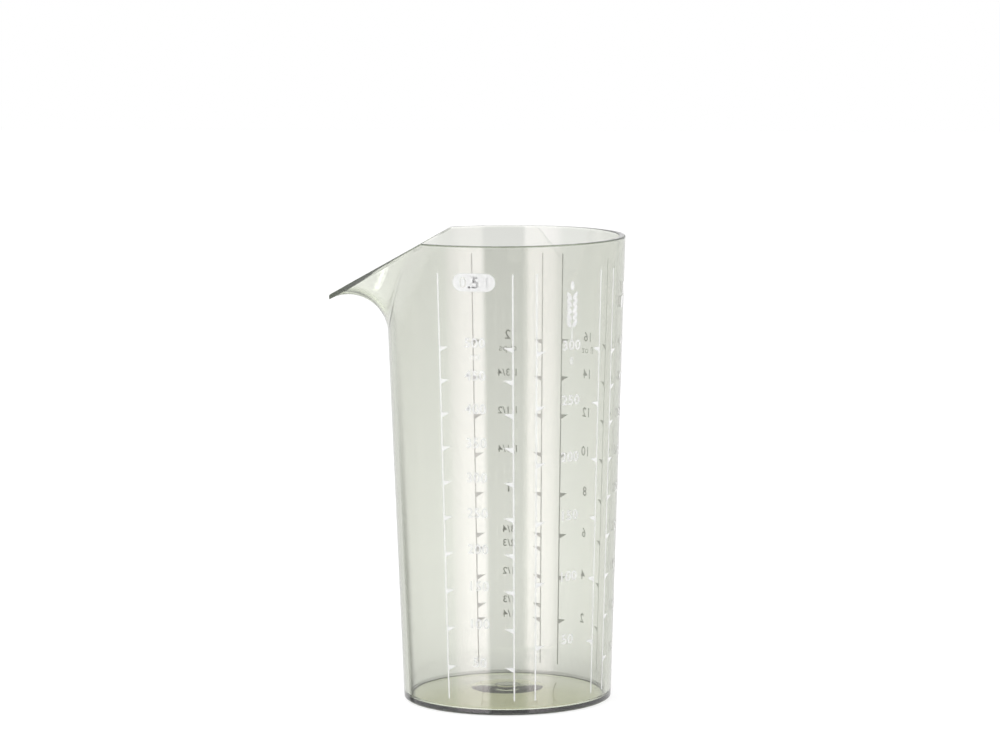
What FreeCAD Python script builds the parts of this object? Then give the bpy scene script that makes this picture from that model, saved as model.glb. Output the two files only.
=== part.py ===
import FreeCAD, Part
import math
import os

import Sketcher
from FreeCAD import Placement, Rotation, Vector

# Half-litre measuring beaker: one injection-moulded clear plastic cup with a lightly tapered
# round wall, a mouth that slopes down to a pointed pouring lip, and five printed scales.
#
# Frame: millimetres, +Z up, origin at the centre of the base on the surface it stands on.
# The pouring lip points along -X, and the cup is a mirror image of itself about the XZ plane.
# An azimuth is counted from the lip, -X, towards -Y, the side that carries the millilitre scale.

SIZES = {
    # cup
    "height": (160.0, "resting plane to rim"),
    "rim_radius": (41.4, "outside of the wall at the rim"),
    "base_radius": (35.8, "outside of the wall at the base"),
    "wall": (2.1, "wall thickness"),
    "base_round": (0.9, "rounding of the outer bottom edge"),
    "inner_round": (1.2, "rounding between floor and wall inside"),
    # floor, a shallow cone that rises to the middle
    "floor": (1.57, "top of the floor at the foot of its cone, above the resting plane"),
    "crown_radius": (8.6, "where the cone's top turns into a rounded crown"),
    "foot_ring": (2.9, "width of the flat ring that the cup stands on"),
    "floor_rise": (1.97, "level middle of the underside above the resting plane"),
    "middle_radius": (12.3, "level middle of the underside"),
    "gate_radius": (3.8, "recess round the moulding gate, at its top"),
    "gate_depth": (0.6, "depth of that recess"),
    "gate_draft": (0.3, "what the recess is wider by at its mouth, on the radius"),
    # pouring lip
    "corner_angle": (55.0, "azimuth where the slope starts at the rim"),
    "spout_projection": (19.9, "tip beyond the rim radius"),
    "tip_drop": (20.9, "tip below the rim"),
    "nose_radius": (1.5, "rounding of the tip in plan"),
    "tip_edge": (1.7, "height of the blunt edge at the tip"),
    "side_edge": (1.1, "height of the blunt edge where the lip leaves the wall"),
    "keel_foot_drop": (34.0, "start of the lip's curve on the wall, below the rim, at the keel"),
    "side_foot_drop": (6.5, "the same where the lip leaves the wall"),
    # printing
    "ink": (0.06, "thickness of the printed ink"),
    "panel_angle": (37.0, "from one rule of a scale to the other"),
    "panel_pitch": (48.4, "from one scale to the next"),
    "rule_width": (0.5, "width of a printed rule"),
    "rule_bottom": (5.0, "lower end of the rules"),
    "rule_top_drop": (9.5, "upper end of the rules, below the rim"),
    "tick_length": (3.1, "tick, along the level that it marks"),
    "tick_height": (1.7, "tick, where it meets its rule"),
}

# Scales in order of azimuth: the millilitres that one unit takes, the millilitres that the whole
# print stands above the true level, and the amounts at the ticks.
SCALES = {
    "millilitre_scale": (1.0, 1.2, [50 * step for step in range(1, 11)]),
    "flour_scale": (1.667, -5.8, [50 * step for step in range(1, 7)]),
    "sugar_scale": (1.09, -3.8, [50 * step for step in range(1, 10)]),
    "fluid_ounce_scale": (29.14, 10.1, [2 * step for step in range(1, 9)]),
    "cup_scale": (232.1, 10.2, [1 / 4, 1 / 3, 1 / 2, 2 / 3, 3 / 4, 1, 5 / 4, 3 / 2, 7 / 4, 2]),
}

# Stations of the lip's cross-sections, as shares of the azimuth where the lip leaves the wall.
STATIONS = (0.0, 0.035, 0.1, 0.19, 0.3, 0.42, 0.56, 0.7, 0.85, 1.0)

STOCK = 2.0        # extra length that a later cut takes off
TRIM = 0.5         # the lip's sections reach this far above the slope that trims them

document = FreeCAD.newDocument("measuring_beaker")
sheet = document.addObject("Spreadsheet::Sheet", "sizes")
for row, (alias, (value, meaning)) in enumerate(SIZES.items(), start=1):
    sheet.set(f"A{row}", alias)
    sheet.set(f"B{row}", str(value))
    sheet.set(f"C{row}", meaning)
    sheet.setAlias(f"B{row}", alias)
document.recompute()

# ---- sizes that follow from the sheet, as expressions ----

TAPER = "((sizes.rim_radius - sizes.base_radius) / sizes.height)"
COSINE = f"(1 / sqrt(1 + {TAPER} * {TAPER}))"
SINE = f"({TAPER} * {COSINE})"
BORE_START = f"(sizes.base_radius - sizes.wall / {COSINE})"


def outside(z):
    """Radius of the wall's outside at a height."""
    return f"(sizes.base_radius + {TAPER} * ({z}))"


def inside(z):
    """Radius of the wall's inside at a height."""
    return f"({BORE_START} + {TAPER} * ({z}))"


TIP = "(sizes.rim_radius + sizes.spout_projection)"
APEX = f"({TIP} + sizes.nose_radius / 2)"
CHORD = "(sizes.rim_radius * cos(sizes.corner_angle))"
SLOPE = f"(sizes.tip_drop / ({TIP} - {CHORD}))"


def slope_height(reach):
    """Height of the sloping cut at a distance from the axis, measured along -X."""
    return f"(sizes.height - {SLOPE} * ({reach} - {CHORD}))"


ROOT_HEIGHT = f"({slope_height(f'sizes.rim_radius * sizes.rim_radius / {APEX}')} - sizes.side_edge)"
ROOT_RADIUS = outside(ROOT_HEIGHT)
SPREAD = f"(acos({ROOT_RADIUS} / {APEX}) / (1 deg))"


FOOT_RING_RADIUS = "(sizes.base_radius - sizes.base_round - sizes.foot_ring)"
FLOOR_SLOPE = f"(sizes.floor_rise / ({FOOT_RING_RADIUS} - sizes.middle_radius))"
FLOOR_ROUND_Z = "(sizes.floor + sizes.inner_round)"
FLOOR_ROUND_X = f"({inside(FLOOR_ROUND_Z)} - sizes.inner_round / {COSINE})"
MARGIN = 0.3       # level strip between the rounding of the wall and the foot of the floor's cone
CONE_FOOT = f"({FLOOR_ROUND_X} - {MARGIN})"
EVEN_FLOOR = f"(sizes.floor + {FLOOR_SLOPE} * pow({CONE_FOOT}; 3) / (3 * pow({BORE_START}; 2)))"


def cone_height(radius):
    """Height of the floor's cone above the resting plane at a radius."""
    return f"(sizes.floor + {FLOOR_SLOPE} * ({CONE_FOOT} - {radius}))"


def fill_level(millilitres):
    """Height of the surface of a volume that the tapered bore holds above its coned floor, which
    takes up as much room as an even floor."""
    floor_cube = f"pow({inside(EVEN_FLOOR)}; 3)"
    cube = f"({floor_cube} + 3 * {TAPER} * {millilitres * 1000:.1f} / pi)"
    return f"((pow({cube}; 1 / 3) - {BORE_START}) / {TAPER})"


def number(expression):
    """Value of an expression as a plain number."""
    value = sheet.evalExpression(str(expression))
    return float(getattr(value, "Value", value))


# ---- sketches ----

def origin_feature(body, role):
    """One of a body's own origin planes or axes."""
    return next(item for item in body.Origin.OriginFeatures if item.Role == role)


def upright_sketch(body, name, turn="0", side=1):
    """Sketch on the XZ plane, turned about Z by an angle: local x is the radius, local y is Z."""
    sketch = body.newObject("Sketcher::SketchObject", name)
    sketch.AttachmentSupport = [(origin_feature(body, "XZ_Plane"), "")]
    sketch.MapMode = "FlatFace"
    sketch.AttachmentOffset = Placement(Vector(0, 0, 0), Rotation(Vector(0, side, 0), number(turn)))
    if turn != "0":
        sketch.setExpression("AttachmentOffset.Rotation.Angle", turn)
    return sketch


def bind(sketch, constraint, name, expression):
    """Adds a named constraint that follows an expression."""
    index = sketch.addConstraint(constraint)
    sketch.renameConstraint(index, name)
    sketch.setExpression(f"Constraints.{name}", expression)


def arc_edge(start, end, centre):
    """Arc the short way round a centre, with the position numbers of its start and end."""
    first = math.atan2(start.y - centre.y, start.x - centre.x)
    last = math.atan2(end.y - centre.y, end.x - centre.x)
    turn = (last - first) % (2 * math.pi)
    circle = Part.Circle(centre, Vector(0, 0, 1), start.distanceToPoint(centre))
    if turn < math.pi:
        return Part.ArcOfCircle(circle, first, first + turn), 1, 2
    return Part.ArcOfCircle(circle, last, first + 2 * math.pi), 2, 1


def place(corner):
    """Point of a corner, which is a pair of expressions, or a point that other constraints hold."""
    if isinstance(corner, Vector):
        return corner
    return Vector(number(corner[0]), number(corner[1]), 0)


def draw_outline(sketch, corners, arcs=None, tag=""):
    """Closed outline through corners, in order; arcs maps an edge's index to its centre."""
    arcs = arcs or {}
    points = [place(corner) for corner in corners]
    edges = []
    for index, start in enumerate(points):
        end = points[(index + 1) % len(points)]
        if index in arcs:
            shape, first, last = arc_edge(start, end, arcs[index])
        else:
            shape, first, last = Part.LineSegment(start, end), 1, 2
        edges.append((sketch.addGeometry(shape, False), first, last))
    for index, (edge, _, last) in enumerate(edges):
        following, first, _ = edges[(index + 1) % len(edges)]
        sketch.addConstraint(Sketcher.Constraint("Coincident", edge, last, following, first))
    for index, corner in enumerate(corners):
        if isinstance(corner, Vector):
            continue
        edge, first, _ = edges[index]
        across = Sketcher.Constraint("DistanceX", -1, 1, edge, first, points[index].x)
        up = Sketcher.Constraint("DistanceY", -1, 1, edge, first, points[index].y)
        bind(sketch, across, f"x{tag}{index}", corner[0])
        bind(sketch, up, f"y{tag}{index}", corner[1])
    return edges


def tangent_centre(start, end, direction):
    """Centre of the arc that leaves start along a direction and reaches end."""
    chord = end - start
    normal = Vector(direction.y, -direction.x, 0)
    return start + normal * (chord.dot(chord) / (2 * chord.dot(normal)))


# ---- cup ----

FLOOR_EDGE = (FLOOR_ROUND_X, "sizes.floor")
WALL_EDGE = (f"({FLOOR_ROUND_X} + sizes.inner_round * {COSINE})",
             f"({FLOOR_ROUND_Z} - sizes.inner_round * {SINE})")


def bind_floor_round(sketch, edges, index):
    """Gives the arc between the wall and the floor its radius."""
    arc = edges[index][0]
    constraint = Sketcher.Constraint("Radius", arc, number("sizes.inner_round"))
    bind(sketch, constraint, "floor_round", "sizes.inner_round")


def floor_round_centre():
    """Centre of the rounding between the floor and the wall."""
    return Vector(number(FLOOR_ROUND_X), number(FLOOR_ROUND_Z), 0)


def add_barrel(body):
    """Wall and level floor all round, except the sector that holds the lip."""
    sketch = upright_sketch(body, "barrel_section", f"180 - {SPREAD}", side=-1)
    top = f"(sizes.height + {STOCK})"
    corners = [
        ("0", f"{-STOCK}"),
        (outside(-STOCK), f"{-STOCK}"),
        (outside(top), top),
        (inside(top), top),
        WALL_EDGE,
        FLOOR_EDGE,
        ("0", "sizes.floor"),
    ]
    edges = draw_outline(sketch, corners, {4: floor_round_centre()})
    bind_floor_round(sketch, edges, 4)
    barrel = body.newObject("PartDesign::Revolution", "barrel")
    barrel.Profile = sketch
    barrel.ReferenceAxis = (sketch, ["V_Axis"])
    barrel.setExpression("Angle", f"360 - 2 * {SPREAD}")


def add_floor_cone(body):
    """Raises the floor to its middle, and joins the barrel and the lip's sector at the axis."""
    sketch = upright_sketch(body, "floor_section")
    crown_z = cone_height("sizes.crown_radius")
    slant = f"sqrt(1 + {FLOOR_SLOPE} * {FLOOR_SLOPE})"
    corners = [
        ("0", f"{-STOCK}"),
        (CONE_FOOT, f"{-STOCK}"),
        (CONE_FOOT, "sizes.floor"),
        ("sizes.crown_radius", crown_z),
        ("0", f"({crown_z} + sizes.crown_radius * ({slant} - 1) / {FLOOR_SLOPE})"),
    ]
    crown_centre = Vector(0, number(f"{crown_z} - sizes.crown_radius / {FLOOR_SLOPE}"), 0)
    edges = draw_outline(sketch, corners, {3: crown_centre})
    sketch.addConstraint(Sketcher.Constraint("PointOnObject", edges[3][0], 3, -2))
    cone = body.newObject("PartDesign::Revolution", "floor_cone")
    cone.Profile = sketch
    cone.ReferenceAxis = (sketch, ["V_Axis"])
    cone.Angle = 360


LIP_SECTOR_START = "(sizes.base_radius / 4)"


def lip_section(body, share, side):
    """Cross-section of wall and lip in one upright plane. The outside runs up the wall and curls
    out in an arc to the lip's blunt edge; the inside comes back parallel to it."""
    azimuth = f"({share} * {SPREAD})"
    name = f"lip_section_{round(share * 1000)}_{'near' if side < 0 else 'far'}"
    sketch = upright_sketch(body, name, f"180 - {azimuth}", side)
    edge_height = f"(sizes.tip_edge + {share} * (sizes.side_edge - sizes.tip_edge))"
    if share == 1.0:
        lip_x, lip_z = ROOT_RADIUS, ROOT_HEIGHT
    else:
        lip_x = TIP if share == 0.0 else f"({ROOT_RADIUS} / cos({SPREAD} - {azimuth}))"
        lip_z = f"({slope_height(f'{lip_x} * cos({azimuth})')} - {edge_height})"
    rise = f"pow(sin({90 * share}); 3)"
    drop = f"(sizes.keel_foot_drop + {rise} * (sizes.side_foot_drop - sizes.keel_foot_drop))"
    foot_z = f"(sizes.height - {drop})"
    # the blunt edge has the wall's taper and ends on a line TRIM above the sloping cut
    run = f"({SLOPE} * cos({azimuth}))"
    crest = f"({slope_height('0')} + {TRIM})"
    top_z = f"(({crest} - {run} * ({lip_x} - {TAPER} * {lip_z})) / (1 + {run} * {TAPER}))"
    bore_top_z = f"(({crest} - {run} * {BORE_START}) / (1 + {run} * {TAPER}))"
    corners = [
        (LIP_SECTOR_START, f"{-STOCK}"),
        (outside(-STOCK), f"{-STOCK}"),
        (outside(foot_z), foot_z),
        (lip_x, lip_z),
        (f"({lip_x} + {TAPER} * ({top_z} - {lip_z}))", top_z),
        (inside(bore_top_z), bore_top_z),
        (f"({outside(foot_z)} - sizes.wall * {COSINE})", f"({foot_z} + sizes.wall * {SINE})"),
        WALL_EDGE,
        FLOOR_EDGE,
        (LIP_SECTOR_START, "sizes.floor"),
    ]
    if share == 1.0:
        edges = draw_outline(sketch, corners, {7: floor_round_centre()})
    else:
        foot, lip, top, bore_foot = (place(corners[index]) for index in (2, 3, 4, 6))
        centre = tangent_centre(foot, lip, Vector(number(SINE), number(COSINE), 0))
        along = Vector(-1, number(run), 0).normalize()
        reach = top - centre
        half = reach.dot(along)
        bore_radius = bore_foot.distanceToPoint(centre)
        corners[5] = top + along * (math.sqrt(half ** 2 - reach.dot(reach) + bore_radius ** 2) - half)
        arcs = {2: centre, 5: centre, 7: floor_round_centre()}
        edges = draw_outline(sketch, corners, arcs)
        run_x = f"({lip_x} - {outside(foot_z)})"
        run_z = f"({lip_z} - {foot_z})"
        radius = f"({run_x} * {run_x} + {run_z} * {run_z}) / (2 * ({run_x} * {COSINE} - {run_z} * {SINE}))"
        outer_arc, bore_arc = edges[2][0], edges[5][0]
        curl = Sketcher.Constraint("Radius", outer_arc, foot.distanceToPoint(centre))
        bind(sketch, curl, "curl", radius)
        sketch.addConstraint(Sketcher.Constraint("Coincident", outer_arc, 3, bore_arc, 3))
        closing = Sketcher.Constraint("Angle", edges[4][0], math.pi - math.atan(number(run)))
        bind(sketch, closing, "closing", f"180 - atan({run}) / (1 deg)")
    bind_floor_round(sketch, edges, 7)
    return sketch


def add_lip(body):
    """Sector of the wall that flows out into the pouring lip, lofted round the axis."""
    sections = [lip_section(body, share, 1) for share in reversed(STATIONS)]
    sections += [lip_section(body, share, -1) for share in STATIONS[1:]]
    lip = body.newObject("PartDesign::AdditiveLoft", "lip_sector")
    lip.Profile = sections[0]
    lip.Sections = sections[1:]
    lip.Ruled = False
    return lip


def add_mouth(body):
    """Cuts the mouth: level round the back, and down a slope from the two rim corners to the tip."""
    sketch = upright_sketch(body, "mouth_line")
    beyond = f"({TIP} + 10)"
    above = f"({slope_height('0')} + 2 * {STOCK})"
    corners = [
        (beyond, "sizes.height"),
        (f"-{CHORD}", "sizes.height"),
        (f"-{beyond}", slope_height(beyond)),
        (f"-{beyond}", above),
        (beyond, above),
    ]
    draw_outline(sketch, corners)
    cut = body.newObject("PartDesign::Pocket", "mouth")
    cut.Profile = sketch
    cut.Type = 1
    cut.Midplane = True


BREAK = 0.04        # the rounding crosses wall and base at a slight angle, not as a tangent
ROUND_X = f"({outside('sizes.base_round')} - sizes.base_round + {BREAK})"
ROUND_Z = f"(sizes.base_round - {BREAK})"
ROUND_RUN = f"sqrt(sizes.base_round * sizes.base_round - {ROUND_Z} * {ROUND_Z})"


def add_underside(body):
    """Turns the underside: rounded edge, flat foot ring, shallow cone, level middle, gate recess."""
    sketch = upright_sketch(body, "underside_section")
    below = f"{-STOCK - 1}"
    beyond = f"({outside(0)} + {STOCK})"
    gate_z = "(sizes.floor_rise + sizes.gate_depth)"
    corners = [
        ("0", below),
        (beyond, below),
        (beyond, ROUND_Z),
        (f"({ROUND_X} + sizes.base_round)", ROUND_Z),
        (f"({ROUND_X} + {ROUND_RUN})", "0"),
        (FOOT_RING_RADIUS, "0"),
        ("sizes.middle_radius", "sizes.floor_rise"),
        ("(sizes.gate_radius + sizes.gate_draft)", "sizes.floor_rise"),
        ("sizes.gate_radius", gate_z),
        ("0", gate_z),
    ]
    edges = draw_outline(sketch, corners, {3: Vector(number(ROUND_X), number(ROUND_Z), 0)})
    rounding = Sketcher.Constraint("Radius", edges[3][0], number("sizes.base_round"))
    bind(sketch, rounding, "base_round", "sizes.base_round")
    turned = body.newObject("PartDesign::Groove", "underside")
    turned.Profile = sketch
    turned.ReferenceAxis = (sketch, ["V_Axis"])
    turned.Angle = 360


# ---- printed scales ----

HALF_PANEL = "(sizes.panel_angle / 2)"
RULE_SIDE = f"sin({HALF_PANEL})"
FORESHORTEN = f"cos({HALF_PANEL})"
RULE_TOP = "(sizes.height - sizes.rule_top_drop)"


def rule_edge(z, sign, half_widths):
    """Corner on a rule's edge at a height; half_widths is 1 outside, -1 on the side of the ticks."""
    shift = f"{half_widths} * sizes.rule_width / 2 * {FORESHORTEN}"
    return (f"({sign} * ({outside(z)} * {RULE_SIDE} + {shift}))", str(z))


def rule_outline(sign, levels):
    """Corners of one rule and its triangular ticks, whose flat upper edges are the levels."""
    corners = [rule_edge("sizes.rule_bottom", sign, 1), rule_edge(RULE_TOP, sign, 1)]
    corners.append(rule_edge(RULE_TOP, sign, -1))
    for level in reversed(levels):
        root_x, root_z = rule_edge(level, sign, -1)
        corners.append((root_x, root_z))
        corners.append((f"({root_x} - {sign} * sizes.tick_length * {FORESHORTEN})", root_z))
        corners.append(rule_edge(f"({level} - sizes.tick_height)", sign, -1))
    corners.append(rule_edge("sizes.rule_bottom", sign, -1))
    return corners


def add_scale(name, index, unit, lift, amounts):
    """One printed scale as a skin of ink on the wall: two upright rules with ticks between them."""
    body = document.addObject("PartDesign::Body", name)
    body.Label = name
    turn = f"(180 + {index - 2} * sizes.panel_pitch - 90)"
    if number(turn) > 180:
        turn = f"(360 - {turn})"
        side = -1
    elif number(turn) < 0:
        turn = f"(-{turn})"
        side = -1
    else:
        side = 1
    face = upright_sketch(body, f"{name}_rules", turn, side)
    levels = [fill_level(unit * amount + lift) for amount in amounts]
    draw_outline(face, rule_outline(-1, levels), tag="left")
    draw_outline(face, rule_outline(1, levels), tag="right")
    pad = body.newObject("PartDesign::Pad", f"{name}_pad")
    pad.Profile = face
    pad.setExpression("Length", "sizes.rim_radius + 10")
    low, high = f"{-STOCK}", f"(sizes.height + {STOCK})"
    far = "(sizes.rim_radius + 20)"
    wall_side = [("0", low), (outside(low), low), (outside(high), high), ("0", high)]
    open_side = [
        (f"({outside(low)} + sizes.ink)", low),
        (far, low),
        (far, high),
        (f"({outside(high)} + sizes.ink)", high),
    ]
    for title, corners in (("wall_side", wall_side), ("open_side", open_side)):
        section = upright_sketch(body, f"{name}_{title}")
        draw_outline(section, corners)
        trim = body.newObject("PartDesign::Groove", f"{name}_{title}_trim")
        trim.Profile = section
        trim.ReferenceAxis = (section, ["V_Axis"])
        trim.Angle = 360
    return body


# ---- build, test and write ----

def test(pieces):
    """Stops when an object has failed or a piece has no valid solid."""
    for item in document.Objects:
        if "Invalid" in item.State or "Error" in item.State:
            raise RuntimeError(f"{item.Label}: {item.State}")
    for piece in pieces:
        shape = piece.Shape
        if shape.isNull() or not shape.isValid() or not shape.Solids:
            raise RuntimeError(f"{piece.Label}: no valid solid")


def main():
    """Builds every piece, tests it and writes its file."""
    beaker = document.addObject("PartDesign::Body", "beaker_body")
    beaker.Label = "beaker_body"
    add_barrel(beaker)
    add_floor_cone(beaker)
    add_lip(beaker)
    add_mouth(beaker)
    add_underside(beaker)
    scales = [add_scale(name, index, *scale) for index, (name, scale) in enumerate(SCALES.items())]
    document.recompute()
    pieces = [beaker] + scales
    test(pieces)
    os.makedirs("parts", exist_ok=True)
    for piece in pieces:
        shape = piece.Shape
        shape.exportStep(f"parts/{piece.Label}.step")
        print(f"{piece.Label}: {len(shape.Solids)} solid(s), {shape.Volume:.1f} mm3, {len(shape.Faces)} faces")


main()
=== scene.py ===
"""Half-litre measuring beaker: one clear grey-green moulding with five scales printed in white.

Lengths are in millimetres until a mesh is made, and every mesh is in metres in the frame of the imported
model: +Z up, the origin at the centre of the base, the pouring lip towards -X. An azimuth is counted
from the lip towards -Y, in radians unless a name says otherwise.
"""

import logging
import math
from dataclasses import dataclass
from enum import Enum
from functools import cached_property

import bmesh
import bpy
import numpy as np
from bpy.types import Curve, Material, Mesh, Node, NodeSocket, NodeTree, Object
from mathutils import Matrix, Vector


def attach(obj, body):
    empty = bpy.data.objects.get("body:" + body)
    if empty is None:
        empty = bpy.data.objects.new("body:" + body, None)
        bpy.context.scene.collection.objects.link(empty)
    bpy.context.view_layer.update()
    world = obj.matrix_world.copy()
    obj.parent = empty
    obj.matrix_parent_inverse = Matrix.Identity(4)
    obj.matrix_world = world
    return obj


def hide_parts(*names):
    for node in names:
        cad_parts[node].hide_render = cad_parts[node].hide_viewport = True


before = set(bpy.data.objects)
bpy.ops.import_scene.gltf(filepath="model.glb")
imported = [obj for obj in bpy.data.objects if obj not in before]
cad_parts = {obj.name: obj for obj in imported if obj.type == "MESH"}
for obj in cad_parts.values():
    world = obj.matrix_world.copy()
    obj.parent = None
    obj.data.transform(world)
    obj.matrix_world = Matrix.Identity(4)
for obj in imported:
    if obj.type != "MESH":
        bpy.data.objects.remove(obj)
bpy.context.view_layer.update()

LOG = logging.getLogger("measuring_beaker")
MM = 0.001
BODY = "root"
EDGE_MARK = "satin_edge"
BELOW_ALL = -2.0
WHITE = "#ffffff"
CUBIC_MM = 1000.0  # in a millilitre


# ---- colours and nodes ----

def linear(code: str) -> tuple[float, float, float, float]:
    """Turns an sRGB hex colour into a linear one.

    Args:
        code: Six hex digits after a hash sign.

    Returns:
        Red, green, blue and an alpha of 1.
    """
    parts = (int(code[i:i + 2], 16) / 255 for i in (1, 3, 5))
    red, green, blue = (c / 12.92 if c <= 0.04045 else ((c + 0.055) / 1.055) ** 2.4 for c in parts)
    return red, green, blue, 1.0


def add_node(tree: NodeTree, kind: str, settings: dict | None = None,
             links: dict | None = None) -> Node:
    """Adds a shader node with its settings and incoming links.

    Args:
        tree: Node tree that gets the node.
        kind: Node type without the words ShaderNode.
        settings: Values by name, for properties of the node or for its input sockets.
        links: Output sockets by the name or number of the input that they feed.

    Returns:
        The new node.
    """
    node = tree.nodes.new("ShaderNode" + kind)
    for name, value in (settings or {}).items():
        if isinstance(name, int) or name in node.inputs:
            node.inputs[name].default_value = value
        else:
            setattr(node, name, value)
    for name, source in (links or {}).items():
        tree.links.new(source, node.inputs[name])
    return node


def layered(tree: NodeTree, base: NodeSocket, *layers: tuple[NodeSocket, NodeSocket]) -> NodeSocket:
    """Lays shaders over a base, one after another.

    Args:
        tree: Node tree.
        base: The lowest shader.
        layers: The share and the shader of each layer.

    Returns:
        The shader of the whole stack.
    """
    for share, shader in layers:
        base = add_node(tree, "MixShader", links={0: share, 1: base, 2: shader}).outputs[0]
    return base


def new_material(name: str) -> tuple[Material, NodeTree, Node]:
    """Makes a material with nothing but its output node.

    Args:
        name: Name of the material.

    Returns:
        The material, its tree and its output node.
    """
    material = bpy.data.materials.new(name)
    material.use_nodes = True
    material.node_tree.nodes.clear()
    output = add_node(material.node_tree, "OutputMaterial")
    return material, material.node_tree, output


# ---- finishes ----

@dataclass(frozen=True)
class ClearPlastic:
    """Styrene acrylonitrile, injection moulded in a polished tool and tinted grey-green in the mass.

    The tint is an absorption, so a wall looks pale, two walls darker, and the long way through the rim
    or the floor's edge nearly black. A polished tool gives a gloss that is slightly wavy where the wall
    shrank, and handling leaves it a little less sharp in patches. The rim's outer corner and the lip's
    blunt edge, where the tool parts, and the foot, which rubs on tables, are satin and scatter a little of
    the mass's colour.
    """

    refraction: float = 1.57
    gloss: float = 0.012
    handled_gloss: float = 0.03
    satin: float = 0.3
    scatter: float = 0.3
    mass_colour: str = "#6c7661"
    absorption: float = 120.0
    passes: str = "#8f9960"
    ripple: float = 16.0
    ripple_depth: float = 0.012
    smear: float = 9.0
    smear_range: tuple[float, float] = (0.42, 0.72)

    def make(self) -> Material:
        """Makes the material.

        Returns:
            The new material.
        """
        material, tree, output = new_material("clear_plastic_polished")
        place = add_node(tree, "TexCoord").outputs["Object"]
        waves = add_node(tree, "TexNoise", {"Scale": 1 / (self.ripple * MM), "Detail": 1.0}, {"Vector": place})
        relief = add_node(tree, "Bump", {"Strength": 1.0, "Distance": self.ripple_depth * MM},
                          {"Height": waves.outputs["Fac"]})
        smears = add_node(tree, "TexNoise", {"Scale": 1 / (self.smear * MM), "Detail": 4.0, "Roughness": 0.6},
                          {"Vector": place})
        rough = add_node(tree, "MapRange", {
            "From Min": self.smear_range[0], "From Max": self.smear_range[1],
            "To Min": self.gloss, "To Max": self.handled_gloss}, {"Value": smears.outputs["Fac"]})
        mark = add_node(tree, "Attribute", {"attribute_name": EDGE_MARK}).outputs["Fac"]
        finish = add_node(tree, "Mix", {3: self.satin}, {0: mark, 2: rough.outputs["Result"]})
        clear = add_node(tree, "MapRange", {"To Min": 1.0, "To Max": 1 - self.scatter}, {"Value": mark})
        tone = add_node(tree, "Mix", {"data_type": "RGBA", 6: linear(WHITE), 7: linear(self.mass_colour)},
                        {0: mark})
        shader = add_node(tree, "BsdfPrincipled", {"IOR": self.refraction}, {
            "Base Color": tone.outputs[2], "Transmission Weight": clear.outputs[0],
            "Roughness": finish.outputs[0], "Normal": relief.outputs["Normal"],
        })
        tint = add_node(tree, "VolumeAbsorption", {"Color": linear(self.passes), "Density": self.absorption})
        tree.links.new(shader.outputs["BSDF"], output.inputs["Surface"])
        tree.links.new(tint.outputs["Volume"], output.inputs["Volume"])
        return material


@dataclass(frozen=True)
class ScreenInk:
    """White two-part ink, screen printed and baked: nearly matt, with the print mesh's faint grain.

    Real mesh marks are 0.1 mm apart and too fine to show, so the grain is drawn at 0.35 mm.
    """

    colour: str = "#fbfaf9"
    thin_colour: str = "#efefec"
    roughness: float = 0.42
    bleed: float = 0.2
    grain: float = 0.35
    grain_depth: float = 0.01
    grain_range: tuple[float, float] = (0.35, 0.5)

    def make(self) -> Material:
        """Makes the material.

        Returns:
            The new material.
        """
        material, tree, output = new_material("white_screen_ink")
        place = add_node(tree, "TexCoord").outputs["Object"]
        grain = add_node(tree, "TexNoise", {"Scale": 1 / (self.grain * MM), "Detail": 2.0}, {"Vector": place})
        ramp = add_node(tree, "MapRange", {"From Min": self.grain_range[0], "From Max": self.grain_range[1]},
                        {"Value": grain.outputs["Fac"]})
        tone = add_node(tree, "Mix", {"data_type": "RGBA", 6: linear(self.thin_colour), 7: linear(self.colour)},
                        {0: ramp.outputs["Result"]})
        relief = add_node(tree, "Bump", {"Strength": 1.0, "Distance": self.grain_depth * MM},
                          {"Height": grain.outputs["Fac"]})
        shader = add_node(tree, "BsdfPrincipled", {
            "Roughness": self.roughness, "Subsurface Weight": 1.0, "Subsurface Radius": (1.0, 1.0, 1.0),
            "Subsurface Scale": self.bleed * MM,
        }, {"Base Color": tone.outputs[2], "Normal": relief.outputs["Normal"]})
        tree.links.new(shader.outputs["BSDF"], output.inputs["Surface"])
        return material


# ---- the moulding ----

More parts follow.
